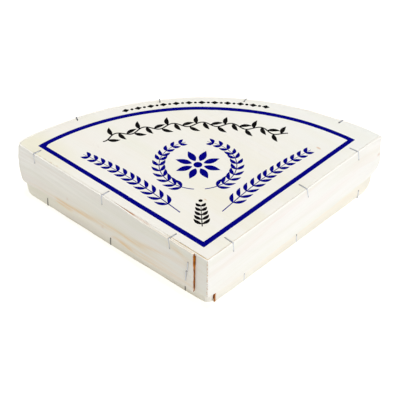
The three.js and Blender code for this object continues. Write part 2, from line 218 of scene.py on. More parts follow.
def eased(x, low, high):
    """Smooth step: 0 below low, 1 above high, with level ends."""
    t = np.clip((x - low) / (high - low), 0.0, 1.0)
    return t * t * (3.0 - 2.0 * t)


def mixed(a, b, t):
    """Straight blend from a to b."""
    return a + (b - a) * t


def ripple(u, v, lengths, seed, waves=14):
    """Smooth irregular waves of about unit size: a sum of sines with seeded directions, lengths and phases.

    lengths gives the longest wave along u and along v in millimetres.
    """
    draw = np.random.default_rng(seed)
    share = draw.uniform(0.7, 3.2, (waves, 2))
    turn = draw.choice((-1.0, 1.0), waves)
    phase = draw.uniform(0.0, 2.0 * np.pi, waves)
    angle = np.multiply.outer(u, 2.0 * np.pi * share[:, 0] / lengths[0])
    angle = angle + np.multiply.outer(v, 2.0 * np.pi * turn * share[:, 1] / lengths[1]) + phase
    weight = 1.0 / share.sum(1)
    return (np.sin(angle) * weight).sum(-1) / np.sqrt((weight ** 2).sum() / 2.0)


def at_levels(values, level):
    """The cubic through four values at LEVELS, as a column over the given levels."""
    return np.polyval(np.polyfit(LEVELS, values, 3), level)[:, None]


def lap_lift(along, lap):
    """How far the lap stands off: nothing where it lifts, all of it where the under layer is whole."""
    return eased(lap["lift"] - along, 0.0, lap["lift"] - lap["start"]) * lap["out"]


def streaks(along, depth, rows):
    """A sum of soft streaks: depth and strength follow the knots, and each fades as a bell curve does."""
    total = 0.0
    for knots, above, below in rows:
        at, down, strength = np.array(knots, dtype=float).T
        off = depth - np.interp(along, at, down)
        fade = np.where(off > 0.0, below, above)
        total = total + np.interp(along, at, strength, left=0.0, right=0.0) * np.exp(-(off / fade) ** 2)
    return total


def nose_path(shape, count, fine=40):
    """The strip's way round the point: its radius changes with the angle of its normal, as nose lists it.

    Returns count + 1 places and angles, and how far from the sides' meeting the turn starts and ends. The
    way is summed in fine steps between the places.
    """
    angle = np.radians(np.linspace(-135.0, -45.0, fine * count + 1))
    degrees, radii = np.array(shape["nose"], dtype=float).T
    radius = np.interp(np.degrees(angle), degrees, radii)
    way = np.stack([-np.sin(angle), np.cos(angle)], -1) * radius[:, None]
    step = 0.5 * (way[1:] + way[:-1]) * np.diff(angle)[:, None]
    path = np.concatenate([np.zeros((1, 2)), np.cumsum(step, 0)])
    across, ahead = path[-1] / (2.0 * HALF)
    start, end = shape["inset"] + across - ahead, shape["inset"] + across + ahead
    path = path + HALF * np.array([shape["inset"] - start, shape["inset"] + start])
    return path[::fine], angle[::fine], start, end


def strip_run(shape, level, counts):
    """The run of a strip round the quarter, for every level at once.

    From the under layer's scarfed start on the left side to the point, round the nose, out along the right
    side, round the bend, along the round side, round the left bend and back along the left side over its
    own start. Sides are straight lines with a swell, bends are arcs that are pulled along and out, and the
    round side is an arc with bulges. Returns plan points and normals (level, station, 2), and for each
    station the offsets of the outer and the inner face, the skirt's depth, how far the top edge sinks, how
    much thicker the strip is at its top and the distance walked from the point.
    """
    inset, lap = shape["inset"], shape["lap"]
    sunk_in = lap["out"] - STRIP - LAP_GAP
    pulls = {1: shape["right"], -1: shape["left"]}
    tip = shape["left"]["swell"][0][1]
    bends = {}
    for sign, pull in pulls.items():
        bend = at_levels(pull["bend"], level)
        ring = RADIUS - inset - bend
        bends[sign] = bend, np.sqrt(ring ** 2 - (inset + bend) ** 2), np.arcsin((inset + bend) / ring)
    ones = np.ones((len(level), 1))
    runs = []

    def pulled(x, y, sign, weight):
        along, out = at_levels(pulls[sign]["along"], level), at_levels(pulls[sign]["out"], level)
        return x + sign * weight * HALF * (along + out), y + weight * HALF * (along - out)

    def add(x, y, angle, depth, outer=0.0, inner=-STRIP, sunk=0.0, thick=0.0):
        grid = np.broadcast(x, y, angle).shape
        runs.append([np.broadcast_to(v, grid) for v in (x, y, np.cos(angle), np.sin(angle))]
                    + [np.broadcast_to(v, grid[1:]) for v in (outer, inner, depth, sunk, thick)])

    def side(sign, along, layer):
        weight = 1.0 - eased(bends[sign][1] - along, 0.0, at_levels(pulls[sign]["straight"], level))
        inward = inset - (1.0 - weight) * np.interp(along, *np.transpose(pulls[sign]["swell"]))
        reached = along - tip * (1.0 - eased(along, 0.0, TIP_REACH))
        x, y = pulled(sign * HALF * (reached - inward), HALF * (reached + inward), sign, weight)
        flat = along[-1]
        lift = lap_lift(flat, lap)
        scarf = np.clip(lift - STRIP - LAP_GAP, SCARF["thin"] - STRIP, sunk_in)
        single = sunk_in * (1.0 - eased(flat, *FLUSH))
        outer, inner, sunk = {
            "single": (single, single - STRIP, 0.0),
            "lap": (lift, lift - STRIP, 0.0),
            "under": (scarf, sunk_in - STRIP, SCARF["sink"] * eased(flat, *SCARF["between"]))}[layer]
        add(x, y, (-0.25 if sign > 0 else -0.75) * np.pi * ones + 0.0 * along,
            np.interp(flat, *np.transpose(SKIRT[layer])), outer, inner, sunk,
            pulls[sign]["thick"] * weight[-1])

    def corner(sign, share):
        bend, far, lean = bends[sign]
        angle = mixed(-0.25 * np.pi, 0.25 * np.pi + lean, share[None])
        angle = angle if sign > 0 else np.pi - angle
        x = sign * HALF * (far - inset - bend) + bend * np.cos(angle)
        y = HALF * (far + inset + bend) + bend * np.sin(angle)
        x, y = pulled(x, y, sign, 1.0)
        add(x, y, angle, mixed(SKIRT["bend"], SKIRT["round"], eased(share, 0.0, 1.0)),
            sunk=pulls[sign]["drop"] * eased(share, 0.0, 0.6), thick=pulls[sign]["thick"])

    steps = [np.arange(n) / n for n in counts]
    nose, angle, near_left, near_right = nose_path(shape, counts[1])
    stops = (SCARF["start"], near_left)
    if lap["end"] > near_left:
        stops = (SCARF["start"], lap["end"], near_left)
    for first, last in zip(stops[:-1], stops[1:]):
        side(-1, mixed(first, last, steps[0])[None] * ones, "under")
    add(nose[None, :-1, 0] * ones, (nose[None, :-1, 1] - 2.0 * HALF * tip) * ones, angle[None, :-1] * ones,
        SKIRT["under"][0][1], sunk_in, sunk_in - STRIP)
    side(1, mixed(near_right, bends[1][1], steps[2][None]), "single")
    corner(1, steps[3])
    begin, end = 0.25 * np.pi + bends[1][2], 0.75 * np.pi - bends[-1][2]
    turn = mixed(begin, end, steps[4][None])
    ring = RADIUS - inset
    for at, wide, size in shape["bulges"]:
        ring = ring + size * np.exp(-((np.degrees(turn) - 90.0 - at) / wide) ** 2)
    x, y = ring * np.cos(turn), ring * np.sin(turn)
    thick, sunk = 0.0, 0.0
    for sign, pull in pulls.items():
        gone = (turn - begin if sign > 0 else end - turn) * RADIUS
        weight = 1.0 - eased(gone, 0.0, pull["round"])
        x, y = pulled(x, y, sign, weight)
        thick = thick + pull["thick"] * weight[-1]
        sunk = sunk + pull["drop"] * (1.0 - eased(gone[-1], 0.0, DROP_FADE))
    hang = SKIRT["round"] + SKIRT["arc"] * (1.0 - np.abs(2.0 * steps[4] - 1.0) ** SKIRT["power"])
    add(x, y, turn, hang, sunk=sunk, thick=thick)
    corner(-1, 1.0 - steps[5])
    last = np.arange(counts[6] + 1) / counts[6]
    side(-1, mixed(bends[-1][1], lap["end"] * ones, last[None]), "lap")

    x, y, nx, ny = (np.concatenate([r[i] for r in runs], 1) for i in range(4))
    faces = [np.concatenate([r[i] for r in runs]) for i in range(4, 9)]
    step = np.hypot(np.diff(x[-1]), np.diff(y[-1]))
    walked = np.concatenate([[0.0], np.cumsum(step)])
    walked = walked - walked[counts[0] * (len(stops) - 1) + counts[1] // 2]
    return np.stack([x, y], -1), np.stack([nx, ny], -1), *faces, walked


def mesh_piece(name, points, faces, uv=None, marks=None, smooth=True):
    """A piece from points in millimetres and faces as an index array, with its own UV and marks.

    A mark is a number for every point or for every face.
    """
    mesh = bpy.data.meshes.new(name)
    mesh.from_pydata((np.asarray(points) * MM).tolist(), [], [list(f) for f in faces])
    mesh.polygons.foreach_set("use_smooth", np.full(len(mesh.polygons), smooth))
    if uv is not None:
        index = np.empty(len(mesh.loops), dtype=np.int32)
        mesh.loops.foreach_get("vertex_index", index)
        layer = mesh.uv_layers.new(name="grain")
        layer.data.foreach_set("uv", (np.asarray(uv)[index] * MM).ravel())
    for key, values in (marks or {}).items():
        mark = mesh.attributes.new(key, "FLOAT", "FACE" if len(values) == len(mesh.polygons) else "POINT")
        mark.data.foreach_set("value", np.asarray(values, dtype=np.float32))
    mesh.validate()
    obj = bpy.data.objects.new(name, mesh)
    bpy.context.scene.collection.objects.link(obj)
    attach(obj, "root")
    return obj


def tube_faces(stations, ring):
    """Quads of a ring of points carried along stations; they face out if it turns right about the path."""
    i, k = np.meshgrid(np.arange(stations - 1), np.arange(ring), indexing="ij")
    n = (k + 1) % ring
    quads = np.stack([i * ring + k, (i + 1) * ring + k, (i + 1) * ring + n, i * ring + n], -1)
    return quads.reshape(-1, 4)


def bent_strip(name, shape, foot, top, counts, mirror, seed, stains, torn):
    """A strip of wood carried round the quarter: a tall thin profile with rounded edges along strip_run.

    The profile's rows go up the outer face and down the inner one, from foot to top; without a foot the
    strip hangs as deep as the skirt. The edges wander a little, the outer face swells and dips by a few
    hundredths, the fold is ragged by torn millimetres and the lap's cut end is crooked. stains gives the
    marks of the wood's colours, painted shade low on the sides and a painted highlight on the top rim among
    them, from the distance along either side, the depth, the face, 0 outside and 1 inside, and the top rim.
    """
    quarter = np.linspace(0.0, 0.5 * np.pi, EDGE_ROWS)
    rim = EDGE_ROUND * (1.0 - np.cos(quarter)) / USUAL_HEIGHT
    level = np.concatenate([rim, np.linspace(0.03, 0.97, ROWS - 2 * EDGE_ROWS), 1.0 - rim[::-1]])
    rounded = np.zeros(ROWS)
    rounded[:EDGE_ROWS] = EDGE_ROUND * (1.0 - np.sin(quarter))
    rounded[-EDGE_ROWS:] = rounded[EDGE_ROWS - 1::-1]
    plan, normal, outer, inner, depth, sunk, thick, walked = strip_run(shape, level, counts)
    inner = inner - thick * eased(level, *THICKENS)[:, None]
    stations, lap_end = plan.shape[1], shape["lap"]["end"]
    flat = 0.0 * walked

    def uneven(key, u, v):
        size, lengths = WAVES[key]
        return size * ripple(u, v, lengths, seed + list(WAVES).index(key))

    low = top - depth + uneven("foot", walked, flat) if foot is None else foot + flat
    high = top + uneven("top", walked, flat) - TOP_SETTLE - sunk
    height = low[None] + level[:, None] * (high - low)[None]
    down = top - height
    run = walked[None] + 0.0 * height
    wave = uneven("face", run, height) - WAVES["face"][0]
    wave = wave + torn * uneven("fold", 0.0 * run, height) * np.exp(-(run / FOLD_REACH) ** 2)
    wave = np.where(outer[None] < 0.0, np.minimum(wave, 0.0), wave)
    left = lap_end + walked[-1] - walked
    cut = down[:, -1:]
    crook = uneven("cut", 0.0 * cut, cut) + CUT_BACK[0] * eased(cut, *CUT_BACK[1:])
    crook = crook * (1.0 - eased(left - lap_end, 0.0, CUT_REACH))[None]
    plan = plan + crook[..., None] * np.array([-HALF, HALF])
    slim = np.minimum((outer - inner) / STRIP, 1.0) * rounded[:, None]
    sheets = [np.concatenate([plan + normal * out[..., None], height[..., None]], -1)
              for out in (outer + wave - slim, inner + slim)]
    ring = np.concatenate([sheets[0], sheets[1][::-1]], 0).transpose(1, 0, 2)
    count = ring.shape[1]
    across = np.concatenate([height, height[::-1] + STRIP], 0).T
    uv = np.stack([np.repeat(walked[:, None], count, 1), across], -1)
    points = ring.reshape(-1, 3).copy()
    points[:, 0] *= -1.0 if mirror else 1.0
    points[:, :2] += SHIFT + (BASE_SHIFT if mirror else 0.0)
    body = tube_faces(stations, count)
    j = np.arange(ROWS - 1)
    cap = np.stack([j, j + 1, count - 2 - j, count - 1 - j], -1)
    last = (cap + (stations - 1) * count)[:, ::-1]
    faces = np.concatenate([body, cap, last])
    faces = faces[:, ::-1] if mirror else faces
    both = np.concatenate([down, down[::-1]], 0).T

    def thinned(key):
        most, begin, whole = GLUE[key]
        return most * eased(both, begin, whole)

    # Distance from the lap's cut end, on the lap and on the layer under it, grown where the glue thins out.
    end = np.where(walked < 0.0, np.abs(walked + lap_end), np.clip(left - lap_end, 0.0, lap_end))
    fade = (thinned("middle") + thinned("foot")) * (1.0 - eased(both, *BELOW_SKIRT))
    end = end[:, None] * (1.0 + thinned("narrow")) + GLUE["start"][0] - thinned("start") + fade
    inside = np.repeat(np.array([0.0, 1.0]), ROWS)[None] + 0.0 * both
    # rim marks the top edge: the shader paints it lighter there as a painted highlight, and the seams' tint
    # lies on it.
    rim = np.concatenate([eased(level, *TOP_RIM), eased(level[::-1], *TOP_RIM)])[None] + 0.0 * both
    colours = stains(walked[:, None] + 0.0 * both, left[:, None] + 0.0 * both, both, inside, rim)
    marks = {"cut": np.concatenate([np.zeros(len(body)), np.ones(2 * len(cap))]), "end": end.ravel()}
    marks.update((key, mark.ravel()) for key, mark in colours.items())
    return mesh_piece(name, points, faces, uv.reshape(-1, 2), marks)


def lid_stains(right, left, down, inside, rim):
    """Stains on the lid's strip: tan streaks that climb along the left side, rosy bands along the right."""
    raw = streaks(right, down, LID_RAW)
    for side, at, deep, share in LID_FLECKS:
        run = {"left": left, "right": right}[side]
        raw = raw + share * np.exp(-((run - at) / FLECK_LONG) ** 2 - ((down - deep) / FLECK_TALL) ** 2)
    seam = rim * np.interp(left, *LEFT_SEAM) * (0.4 + 0.6 * inside)
    seam = seam + rim * inside * np.interp(right, *RIGHT_SEAM)
    # The tan mark's broad low row is painted shade, and rim carries a painted highlight on the top edge.
    return {"pale": streaks(left, down, LID_PALE), "tan": streaks(left, down, LID_TAN),
            "rosy": streaks(right, down, LID_ROSY), "raw": raw, "edge": seam, "rim": rim}


def base_stains(right, left, down, inside, rim):
    """Stains on the base's strip: rosy along its lapped side, and painted shade, a darker olive, at the
    foot of the other one.

    It has the lid's arguments, though its colours are the same on both faces.
    """
    none = 0.0 * down
    return {"pale": none, "tan": streaks(right, down, BASE_FOOT_SHADE), "rosy": streaks(left, down, BASE_ROSY),
            "raw": none, "edge": none, "rim": rim}


def board_height(x, y):
    """The lid board's top: level, with a slow swell of a few hundredths of a millimetre."""
    return LID_TOP - BOARD_SETTLE + BOARD_SWELL * ripple(x, y, BOARD_WAVES, 31, 8)


def board_outline(counts):
    """The lid's outline drawn in by the strip and a hair's gap, which opens on the left near the point."""
    drawn_in = STRIP + BOARD_GAP
    shape = {**LID, "inset": drawn_in, "nose": ((-135, BOARD_NOSE), (-45, BOARD_NOSE))}
    for key in ("left", "right"):
        pull = LID[key]
        shape[key] = {**pull, "bend": tuple(v - drawn_in for v in pull["bend"]),
                      "out": tuple(v - pull["thick"] for v in pull["out"])}
    shape["lap"] = {**LID["lap"], "end": drawn_in + BOARD_CUT}
    plan = strip_run(shape, np.array([1.0]), counts)[0]
    edge = plan[0, counts[0]:-1]
    off, along = HALF * (edge[:, 0] + edge[:, 1]), HALF * (edge[:, 1] - edge[:, 0])
    gap = OPEN_GAP["size"] * (off < OPEN_GAP["side"]) * eased(along, *OPEN_GAP["opens"])
    return edge + (gap * (1.0 - eased(along, *OPEN_GAP["closes"])))[:, None] * HALF


def floor_outline(counts):
    """The middle of the base's strip at its foot, from the lap's end round the nose and back to it."""
    plan, normal, outer, inner, *_, walked = strip_run(BASE, np.array([0.02]), counts)
    edge = plan[0] + normal[0] * (0.5 * (outer + inner))[:, None]
    edge = edge[walked > -BASE["lap"]["end"]][::-1]
    return edge * np.array([-1.0, 1.0]) + BASE_SHIFT


def floor_height(x, y):
    """The level top of the base's bottom board."""
    return BOARD + FLOOR_SEAT + 0.0 * (x + y)


def board_piece(name, edge, top):
    """A board: rings that shrink from its outline to the middle, with a softened rim, a side and a back.

    Each ring has its share of the way out, how far it is drawn in there and how far it lies under the top.
    """
    inner = np.linspace(0.0, 0.97, 25)[1:]
    rim = np.array([[1.0, 0.5, 0.0], [1.0, 0.16, 0.03], [1.0, 0.03, 0.12], [1.0, 0.0, 0.3],
                    [1.0, 0.0, BOARD - 0.25], [1.0, 0.25, BOARD], [0.5, 0.25, BOARD]])
    share, inward, drop = np.concatenate([np.stack([inner, 0 * inner, 0 * inner], -1), rim]).T
    ray = edge - BOARD_MIDDLE
    ray_unit = ray / np.linalg.norm(ray, axis=1, keepdims=True)
    plan = BOARD_MIDDLE + share[:, None, None] * ray[None] - inward[:, None, None] * ray_unit[None]
    height = top(plan[..., 0], plan[..., 1]) - drop[:, None]
    rings, count = height.shape
    points = np.concatenate([plan, height[..., None]], -1).reshape(-1, 3)
    peak = top(*BOARD_MIDDLE)
    points = np.concatenate([points, [[*BOARD_MIDDLE, peak], [*BOARD_MIDDLE, peak - BOARD]]])
    points[:, :2] += SHIFT
    k = np.arange(count)
    n = (k + 1) % count
    tail = (rings - 1) * count
    start = np.stack([np.full(count, rings * count), k, n], -1)
    end = np.stack([np.full(count, rings * count + 1), tail + n, tail + k], -1)
    return mesh_piece(name, points, [*tube_faces(rings, count).tolist(), *start.tolist(), *end.tolist()])


def wire_piece(name, paths, across, outward, dull):
    """Staples: a flat wire's rounded section carried along each path.

    paths (staple, station, 3) is the wire's middle line, across and outward give its width and thickness
    directions at each station. The ends taper to a chisel point. dull is how far each staple is darkened.
    """
    staples, stations = paths.shape[:2]
    turn = np.linspace(0.0, 2.0 * np.pi, 13)[:-1]
    side, face = (np.sign(wave) * np.abs(wave) ** WIRE["squareness"] * size / 2.0
                  for wave, size in ((np.cos(turn), WIRE["width"]), (np.sin(turn), WIRE["thick"])))
    taper = np.ones((stations, 1, 1))
    taper[[0, -1]] = WIRE["tip"]
    ring = (paths[:, :, None] + across[:, :, None] * side[:, None] * taper
            + outward[:, :, None] * face[:, None] * taper)
    count = len(turn)
    points = ring.reshape(-1, 3).copy()
    points[:, :2] += SHIFT
    k, first = np.arange(count), stations * count * np.arange(staples)[:, None]
    body = (tube_faces(stations, count) + first[:, :, None]).reshape(-1, 4)
    caps = np.stack([first + k[::-1], first + (stations - 1) * count + k], 1).reshape(-1, count)
    walk = np.linalg.norm(np.diff(paths, axis=1), axis=2)
    walk = np.concatenate([np.zeros((staples, 1)), np.cumsum(walk, 1)], 1)
    uv = [np.repeat(walk[..., None], count, 2), np.broadcast_to(side, (staples, stations, count))]
    tip = 1.0 - eased(np.minimum(walk, walk[:, -1:] - walk), *WIRE["dark"])
    marks = {"tip": np.repeat(tip.ravel(), count),
             "dull": np.repeat(np.asarray(dull, dtype=float), stations * count)}
    faces = [*body.tolist(), *caps.tolist()]
    return mesh_piece(name, points, faces, np.stack(uv, -1).reshape(-1, 2), marks)


def stand_off(shape, sign, along, level, counts):
    """How far a strip's outer face stands off its straight side, by the distance from the point."""
    plan, normal, outer, *_, walked = strip_run(shape, np.array([level]), counts)
    flat = (HALF * (sign * normal[0, :, 0] - normal[0, :, 1]) > 0.9999) & (walked > 0.0)
    x, y = plan[0, flat].T
    at, off = HALF * (y + sign * x), shape["inset"] - HALF * (y - sign * x) + outer[flat]
    order = np.argsort(at)
    return np.interp(along, at[order], off[order])


def arc_off(shape, degrees, level, counts):
    """How far a strip's outer face stands off its round side's circle, by angle right of straight on."""
    plan, normal, outer, *_ = strip_run(shape, np.array([level]), counts)
    x, y = (plan[0] + normal[0] * outer[:, None])[normal[0, :, 1] > 0.72].T
    order = np.argsort(np.arctan2(x, y))
    radius = np.interp(np.radians(degrees), np.arctan2(x, y)[order], np.hypot(x, y)[order])
    return radius - RADIUS + shape["inset"]


def edge_places(shape, stops, mirror, level, counts):
    """Plan points, outward normals and stand-off of staples on the left, the right and the round side."""
    inset = shape["inset"]
    left, right, arc = (np.array(stops[k]) for k in ("left", "right", "arc"))
    sign = -1 if mirror else 1
    out = [stand_off(shape, -sign, left, level, counts), stand_off(shape, sign, right, level, counts),
           arc_off(shape, sign * arc, level, counts)]
    arc = np.radians(90.0 - arc)
    x = np.concatenate([-HALF * (left - inset), HALF * (right - inset), (RADIUS - inset) * np.cos(arc)])
    y = np.concatenate([HALF * (left + inset), HALF * (right + inset), (RADIUS - inset) * np.sin(arc)])
    nx = np.concatenate([np.full(len(left), -HALF), np.full(len(right), HALF), np.cos(arc)])
    ny = np.concatenate([np.full(len(left) + len(right), -HALF), np.sin(arc)])
    return np.stack([x, y], -1), np.stack([nx, ny], -1), np.concatenate(out)


def bent_wire(plan, normal, out, flat, rise, end, slant, skew):
    """Paths of staples bent over an edge: along the flat from inside, round a quarter turn, down the side.

    flat is how far each flat leg reaches in, rise its height and end the height of the side leg's end.
    slant is how far each side leg's end leans along the edge, and skew how far each flat leg's end does.
    The side legs are pressed into the wood by SUNK_IN.
    """
    count, bend = len(plan), WIRE["bend"]
    angle = np.linspace(0.0, 0.5 * np.pi, 6)
    back, ahead = np.linspace(0.0, 1.0, 8)[:-1], np.linspace(0.0, 1.0, 9)[1:]
    sides = [len(back), len(angle), len(ahead)]
    face = out + WIRE["thick"] / 2.0 - SUNK_IN
    start, turned = face - flat, face - bend
    sign = np.sign(end - rise)
    o = np.concatenate([start[:, None] + back * (turned - start)[:, None],
                        turned[:, None] + bend * np.sin(angle), np.repeat(face[:, None], sides[2], 1)], 1)
    z = np.concatenate([np.full(sides[0], rise), rise + sign * bend * (1.0 - np.cos(angle)),
                        mixed(rise + sign * bend, end, ahead)])
    lean = (np.asarray(slant)[:, None] * np.concatenate([np.zeros(sides[0] + sides[1]), ahead])
            + np.asarray(skew)[:, None] * np.concatenate([1.0 - back, np.zeros(sides[1] + sides[2])]))
    tangent = np.stack([-normal[:, 1], normal[:, 0]], -1)
    place = plan[:, None] + normal[:, None] * o[..., None] + tangent[:, None] * lean[..., None]
    path = np.concatenate([place, np.broadcast_to(z[:, None], (count, len(z), 1))], -1)
    tilt = np.concatenate([np.zeros(sides[0]), angle, np.full(sides[2], 0.5 * np.pi)])
    outward = np.concatenate([normal[:, None] * np.sin(tilt)[:, None],
                              np.broadcast_to((-sign * np.cos(tilt))[:, None], (count, len(z), 1))], -1)
    across = np.concatenate([tangent, np.zeros((count, 1))], 1)
    return path, np.broadcast_to(across[:, None], path.shape) * sign, outward


def upright_wire(along, drop, lean, out):
    """Paths of staples that lie upright on the left side: straight lines whose ends dive into the wood."""
    t = np.linspace(0.0, 1.0, LAP_WIRE["stations"])
    near_end = np.minimum(1.0, np.minimum(t, 1.0 - t) / LAP_WIRE["ends"])
    face = out + WIRE["thick"] / 2.0 - LAP_WIRE["seat"]
    reach = face[:, None] - LAP_WIRE["dive"] * (1.0 - near_end) ** 2
    along = along[:, None] + lean[:, None] * t
    path = np.stack([-HALF * (along + reach), HALF * (along - reach),
                     LID_TOP - drop[:, None] - t * LAP_WIRE["length"]], -1)
    across, outward = np.array([-HALF, HALF, 0.0]), np.array([-HALF, -HALF, 0.0])
    return path, np.broadcast_to(across, path.shape), np.broadcast_to(outward, path.shape)


def ink_piece(name, bands):
    """Print: every band is a pair of edges (station, 2), and between them lies a thin film of ink.

    Each band becomes a closed low body that starts just under the board's face and follows its swell.
    """
    points, faces, base = [], [], 0
    for left, right, closed in bands:
        stations = len(left)
        section = np.stack([right, right, left, left], 1)
        height = board_height(section[..., 0], section[..., 1])
        height = height + np.array([INK_LOW, INK_HIGH, INK_HIGH, INK_LOW])
        points.append(np.concatenate([section, height[..., None]], -1).reshape(-1, 3))
        quads = tube_faces(stations + 1 if closed else stations, 4)
        if closed:
            quads = quads % (stations * 4)
        else:
            tail = (stations - 1) * 4
            quads = np.concatenate([quads, [[3, 2, 1, 0]], [[tail, tail + 1, tail + 2, tail + 3]]])
        faces.append(quads + base)
        base += stations * 4
    points = np.concatenate(points)
    points[:, :2] += SHIFT
    return mesh_piece(name, points, np.concatenate(faces), smooth=False)


def stroke(path, width):
    """A band along a path (station, 2): its edges stand half the width to the left and right of it."""
    path = np.asarray(path, dtype=float)
    way = np.gradient(path, axis=0)
    way = way / np.maximum(np.linalg.norm(way, axis=1, keepdims=True), 1e-9)
    left = np.stack([-way[:, 1], way[:, 0]], -1) * (np.broadcast_to(width, len(path)) / 2.0)[:, None]
    return path + left, path - left, False


def leaf(start, angle, length, width, bow=0.0):
    """A leaf: a stroke along a bowed line that swells and narrows as a sine does."""
    t = np.linspace(0.0, 1.0, 13)
    way = np.array([np.cos(angle), np.sin(angle)])
    side = np.array([-way[1], way[0]])
    path = np.asarray(start) + np.outer(t * length, way) + np.outer(bow * np.sin(np.pi * t), side)
    return stroke(path, 0.12 + width * np.sin(np.pi * t ** 0.85))


def dot(centre, radius):
    """A round dot: a stroke across its diameter as wide as the chord."""
    t = np.linspace(-0.995, 0.995, 17)
    x = np.sin(t * np.pi / 2.0)
    path = np.asarray(centre) + np.stack([x * radius, 0.0 * x], -1)
    return stroke(path, 2.0 * radius * np.sqrt(np.maximum(1.0 - x ** 2, 0.0004)))


def lozenge(centre, long, short, angle=0.0):
    """A lozenge: a stroke along its long axis that widens to the middle in a straight line."""
    t = np.linspace(-1.0, 1.0, 9)
    way = np.array([np.cos(angle), np.sin(angle)])
    return stroke(np.asarray(centre) + np.outer(t * long, way), 0.06 + 2.0 * short * (1.0 - np.abs(t)))


def sector(point, right, left, radius):
    """A sector's outline: two straight sides from its point and an arc about PRINT_CENTRE."""
    point, right, left = (np.asarray(p, dtype=float) for p in (point, right, left))
    line = np.linspace(0.0, 1.0, 40)[:-1, None]
    first, last = (np.arctan2(*(p - PRINT_CENTRE)[::-1]) for p in (right, left))
    turn = np.linspace(first, last, 90)[:-1]
    arc = np.asarray(PRINT_CENTRE) + radius * np.stack([np.cos(turn), np.sin(turn)], -1)
    return np.concatenate([mixed(point, right, line), arc, mixed(left, point, line)])


def polar(radius, degrees, centre=PRINT_CENTRE):
    """A point at a radius and at an angle right of straight up."""
    turn = np.radians(90.0 - np.asarray(degrees, dtype=float))
    return np.asarray(centre) + np.stack([radius * np.cos(turn), radius * np.sin(turn)], -1)


def sprig(path, pairs, length, width, splay, first=0.12, last=0.94):
    """A spray: a thin stem along a path with pairs of leaves that shorten towards its tip."""
    way = np.gradient(path, axis=0)
    bands = [stroke(path, np.linspace(0.9, 0.4, len(path)))]
    for share in np.linspace(first, last, pairs):
        k = int(share * (len(path) - 1))
        angle = np.arctan2(way[k, 1], way[k, 0])
        size = length * (1.0 - 0.45 * share)
        bands += [leaf(path[k], angle + turn * splay, size, width, 0.1 * turn * size) for turn in (1, -1)]
    return bands


def flower(centre, petals, inner, outer, width, turn=0.0):
    """A flower: petals round a dot."""
    angles = turn + np.arange(petals) * 2.0 * np.pi / petals
    bands = [leaf(np.asarray(centre) + inner * np.array([np.cos(a), np.sin(a)]), a, outer - inner, width)
             for a in angles]
    return bands + [dot(centre, inner * 0.72)]


def blue_bands():
    """Border, an open wreath round a flower and two sprays that climb beside the border's sides."""
    bands = [(sector(*BORDER["inner"]), sector(*BORDER["outer"]), True)]
    middle = np.array(WREATH["middle"])
    bands += flower(middle, petals=8, inner=4.6, outer=17.5, width=5.4, turn=np.pi / 8)
    t = np.linspace(0.0, 1.0, 80)
    for sign in (1, -1):
        turn = np.radians(-90.0 + sign * np.linspace(WREATH["from"], WREATH["to"], 60))
        wreath = middle + WREATH["radius"] * np.stack([np.cos(turn), np.sin(turn)], -1)
        bands += sprig(wreath, pairs=11, length=10.5, width=2.9, splay=0.62)
        x = SPRAY["middle"] + sign * (SPRAY["out"] + SPRAY["reach"] * t)
        y = SPRAY["foot"] + SPRAY["reach"] * t + SPRAY["bow"] * np.sin(np.pi * t)
        bands += sprig(np.stack([x, y], -1), pairs=12, length=11.5, width=3.0, splay=0.6)
    return bands


def black_bands():
    """A row of lozenges and dots outside the border, a leafy garland under it and a sprig by the point."""
    bands = []
    for k, degrees in enumerate(np.linspace(-17.5, 16.5, 23)):
        spot, tilt = polar(ROW_RADIUS, degrees, (0, 0)), np.radians(-degrees)
        bands += [dot(spot, radius=1.2) if k % 2 else lozenge(spot, long=3.0, short=2.1, angle=tilt)]
    sweep = np.linspace(-27.0, 26.0, 260)
    wave = np.sin(np.radians(sweep) * GARLAND["radius"] * 2 * np.pi / GARLAND["long"])
    path = polar(GARLAND["radius"] + GARLAND["wave"] * wave, sweep)
    bands += [stroke(path, 1.2)]
    way = np.gradient(path, axis=0)
    for k, share in enumerate(np.linspace(0.03, 0.97, 26)):
        i, side = int(share * (len(path) - 1)), 1.0 if k % 2 else -1.0
        angle = np.arctan2(way[i, 1], way[i, 0]) + 0.9 * side
        bands += [leaf(path[i], angle, length=9.8, width=3.4, bow=0.8 * side)]
    stem = np.stack([np.full(40, SPRIG["middle"]), np.linspace(SPRIG["foot"], SPRIG["tip"], 40)], -1)
    bands += sprig(stem, pairs=5, length=9.0, width=2.8, splay=0.75)
    return bands + [dot((SPRIG["middle"], SPRIG["bud"]), radius=1.6)]


def linear(code):
    """sRGB hex to linear RGBA."""
    value = np.array([int(code[i:i + 2], 16) for i in (1, 3, 5)]) / 255.0
    line = np.where(value <= 0.04045, value / 12.92, ((value + 0.055) / 1.055) ** 2.4)
    return (*line.tolist(), 1.0)


def node(tree, kind, settings=None, links=None):
    """Adds a node. settings sets its properties or its sockets, and links joins sources to its sockets.

    A source is a socket, or a node whose first output is meant.
    """
    made = tree.nodes.new("ShaderNode" + kind)
    for key, value in (settings or {}).items():
        if isinstance(key, str) and hasattr(made, key):
            setattr(made, key, value)
        else:
            made.inputs[key].default_value = value
    for key, source in (links or {}).items():
        tree.links.new(source.outputs[0] if hasattr(source, "outputs") else source, made.inputs[key])
    return made


def material(name, settings=None):
    """A node material with its shader and output joined; settings are constants on the shader's sockets."""
    made = bpy.data.materials.new(name)
    made.use_nodes = True
    tree = made.node_tree
    tree.nodes.clear()
    shader = node(tree, "BsdfPrincipled", settings)
    node(tree, "OutputMaterial", None, {"Surface": shader})
    return made, tree, shader


